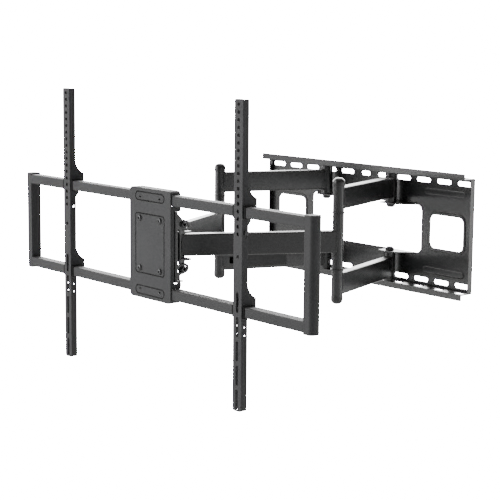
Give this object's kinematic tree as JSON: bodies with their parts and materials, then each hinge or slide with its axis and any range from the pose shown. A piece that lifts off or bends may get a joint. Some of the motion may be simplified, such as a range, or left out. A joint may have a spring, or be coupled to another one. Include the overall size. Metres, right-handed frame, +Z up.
{
  "type": "full motion television wall mount",
  "caption": "Full motion television wall mount: folded wall plate, paired folding arms, tilting head and a tubular frame with hooked screen strips.",
  "frame": {"origin": "centre of the wall plate's back face and of its slot pattern, where it meets the wall", "axes": "+X to the right seen from the room, +Y into the wall, +Z up"},
  "size_m": [1.016, 0.6523, 0.626],
  "materials": {
    "powder_coat": "fine textured black powder coat on steel",
    "black_plastic": "moulded black plastic, satin",
    "bush_plastic": "dark self-lubricating plastic",
    "black_fastener": "black zinc plated steel",
    "steel_pin": "bright turned steel"
  },
  "bodies": {
    "wall": {"wall_plate": "powder_coat", "wall_pivot_bolts": "black_fastener", "wall_pivot_nuts": "black_fastener"},
    "rear_arms_right": {"rear_upper_arm_right": "powder_coat", "rear_lower_arm_right": "powder_coat", "wall_pivot_bushes_right": "bush_plastic", "elbow_bushes_right": "bush_plastic", "elbow_cap_upper_right": "black_plastic", "elbow_cap_lower_right": "black_plastic", "rear_cable_cover_right": "black_plastic"},
    "front_arm_right": {"front_arm_right": "powder_coat", "elbow_sleeve_right": "powder_coat", "elbow_pin_right": "steel_pin", "elbow_pin_rings_right": "black_fastener", "head_pivot_bush_right": "bush_plastic"},
    "rear_arms_left": {"rear_upper_arm_left": "powder_coat", "rear_lower_arm_left": "powder_coat", "wall_pivot_bushes_left": "bush_plastic", "elbow_bushes_left": "bush_plastic", "elbow_cap_upper_left": "black_plastic", "elbow_cap_lower_left": "black_plastic", "rear_cable_cover_left": "black_plastic"},
    "front_arm_left": {"front_arm_left": "powder_coat", "elbow_sleeve_left": "powder_coat", "elbow_pin_left": "steel_pin", "elbow_pin_rings_left": "black_fastener", "head_pivot_bush_left": "bush_plastic"},
    "head": {"head_bracket": "powder_coat", "head_pivot_bolts": "black_fastener", "head_pivot_nuts": "black_fastener", "tilt_bolts": "black_fastener", "tilt_washers": "black_fastener", "tilt_nuts": "black_plastic"},
    "tilt_bracket": {"tilt_bracket": "powder_coat", "level_screw_tab": "powder_coat", "level_screw": "black_plastic"},
    "screen_frame": {"upper_rail": "powder_coat", "lower_rail": "powder_coat", "end_post_right": "powder_coat", "end_post_left": "powder_coat", "centre_plate": "powder_coat", "frame_core_plate": "powder_coat", "centre_spacers": "powder_coat", "centre_bolts": "black_fastener", "level_pivot_bolt": "black_fastener", "rail_screws": "black_fastener"},
    "screen_strip_right": {"screen_strip_right": "powder_coat"},
    "strip_latch_right": {"strip_latch_right": "powder_coat", "latch_screw_right": "black_fastener"},
    "screen_strip_left": {"screen_strip_left": "powder_coat"},
    "strip_latch_left": {"strip_latch_left": "powder_coat", "latch_screw_left": "black_fastener"}
  },
  "joints": [
    {"name": "fold", "type": "hinge", "parent": "wall", "child": "rear_arms_right", "pos_m": [0.11, -0.028, 0], "axis": [0, 0, 1], "range_deg": [-9, 65]},
    {"name": "fold_left", "type": "hinge", "parent": "wall", "child": "rear_arms_left", "pos_m": [-0.11, -0.028, 0], "axis": [0, 0, 1], "range_deg": [-65.5, 9.5]},
    {"name": "elbow_right", "type": "hinge", "parent": "rear_arms_right", "child": "front_arm_right", "pos_m": [0.20577, -0.29111, 0], "axis": [0, 0, 1], "range_deg": [-122.58, 17.4]},
    {"name": "elbow_left", "type": "hinge", "parent": "rear_arms_left", "child": "front_arm_left", "pos_m": [-0.20577, -0.29111, 0], "axis": [0, 0, 1], "range_deg": [-17.4, 122.58]},
    {"name": "head_pivot", "type": "hinge", "parent": "front_arm_right", "child": "head", "pos_m": [0.038, -0.60056, 0], "axis": [0, 0, 1], "range_deg": [-8.4, 57.58]},
    {"name": "tilt", "type": "hinge", "parent": "head", "child": "tilt_bracket", "pos_m": [0, -0.62806, 0], "axis": [1, 0, 0], "range_deg": [-5, 10]},
    {"name": "level", "type": "hinge", "parent": "tilt_bracket", "child": "screen_frame", "pos_m": [0, -0.62856, 0], "axis": [0, 1, 0], "range_deg": [-3, 3]},
    {"name": "strip_slide_right", "type": "slide", "parent": "screen_frame", "child": "screen_strip_right", "axis": [1, 0, 0], "range_m": [-0.2, 0.15]},
    {"name": "latch_slide_right", "type": "slide", "parent": "screen_strip_right", "child": "strip_latch_right", "axis": [0, 0, 1], "range_m": [-0.008, 0]},
    {"name": "strip_slide_left", "type": "slide", "parent": "screen_frame", "child": "screen_strip_left", "axis": [1, 0, 0], "range_m": [-0.14, 0.2]},
    {"name": "latch_slide_left", "type": "slide", "parent": "screen_strip_left", "child": "strip_latch_left", "axis": [0, 0, 1], "range_m": [-0.008, 0]}
  ],
  "couplings": [
    {"joint": "fold_left", "follows": "fold", "ratio": -1},
    {"joint": "elbow_right", "follows": "fold", "ratio": -1.8781},
    {"joint": "elbow_left", "follows": "fold", "ratio": 1.8781},
    {"joint": "head_pivot", "follows": "fold", "ratio": 0.8781}
  ]
}
